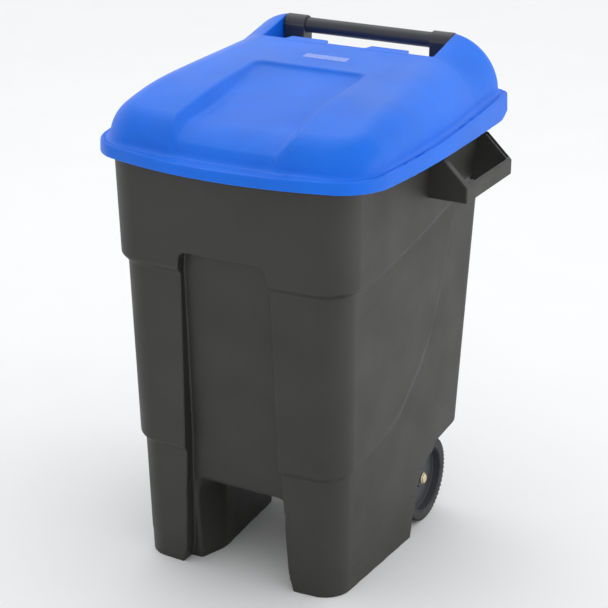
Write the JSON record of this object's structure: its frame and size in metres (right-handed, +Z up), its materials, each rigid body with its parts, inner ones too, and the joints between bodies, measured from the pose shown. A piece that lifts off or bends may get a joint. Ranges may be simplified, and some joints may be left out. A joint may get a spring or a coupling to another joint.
{
  "type": "wheelie bin",
  "caption": "Two-wheeled refuse bin: stepped grey tub on runners and wheels, domed blue lid hinged on a rear cross bar, and open side handles.",
  "frame": {"origin": "centre of the bin's bounding box, on the ground", "axes": "+Z up, front faces -Y, +X is the right-hand side seen from the front; the lid's bar and the axle run along X"},
  "size_m": [0.612, 0.602, 0.897],
  "materials": {
    "tub_plastic": "satin dark grey moulded polypropylene",
    "lid_plastic": "semi-gloss blue moulded polypropylene",
    "bar_plastic": "satin black grip",
    "wheel_plastic": "matt dark grey moulding",
    "tyre": "dull black tread",
    "steel": "bright zinc plated",
    "cap_metal": "yellow zinc, pressed dome",
    "label": "pale blank film"
  },
  "bodies": {
    "bin": {"tub": "tub_plastic", "handle_half_right": "bar_plastic", "handle_half_left": "bar_plastic", "handle_joiner": "bar_plastic", "handle_plug_right": "bar_plastic", "handle_plug_left": "bar_plastic", "axle": "steel", "inner_washer_right": "steel", "inner_washer_left": "steel", "outer_washer_right": "steel", "outer_washer_left": "steel", "axle_cap_right": "cap_metal", "axle_cap_left": "cap_metal"},
    "lid": {"lid": "lid_plastic", "lid_label": "label"},
    "wheel_right": {"wheel_right": "wheel_plastic", "tyre_right": "tyre"},
    "wheel_left": {"wheel_left": "wheel_plastic", "tyre_left": "tyre"}
  },
  "joints": [
    {"name": "lid_hinge", "type": "hinge", "parent": "bin", "child": "lid", "pos_m": [0, 0.272, 0.879], "axis": [-1, 0, 0], "range_deg": [0, 255]},
    {"name": "wheel_right_spin", "type": "hinge", "parent": "bin", "child": "wheel_right", "pos_m": [0.177, 0.145, 0.08], "axis": [1, 0, 0], "continuous": true},
    {"name": "wheel_left_spin", "type": "hinge", "parent": "bin", "child": "wheel_left", "pos_m": [-0.177, 0.145, 0.08], "axis": [1, 0, 0], "continuous": true}
  ]
}
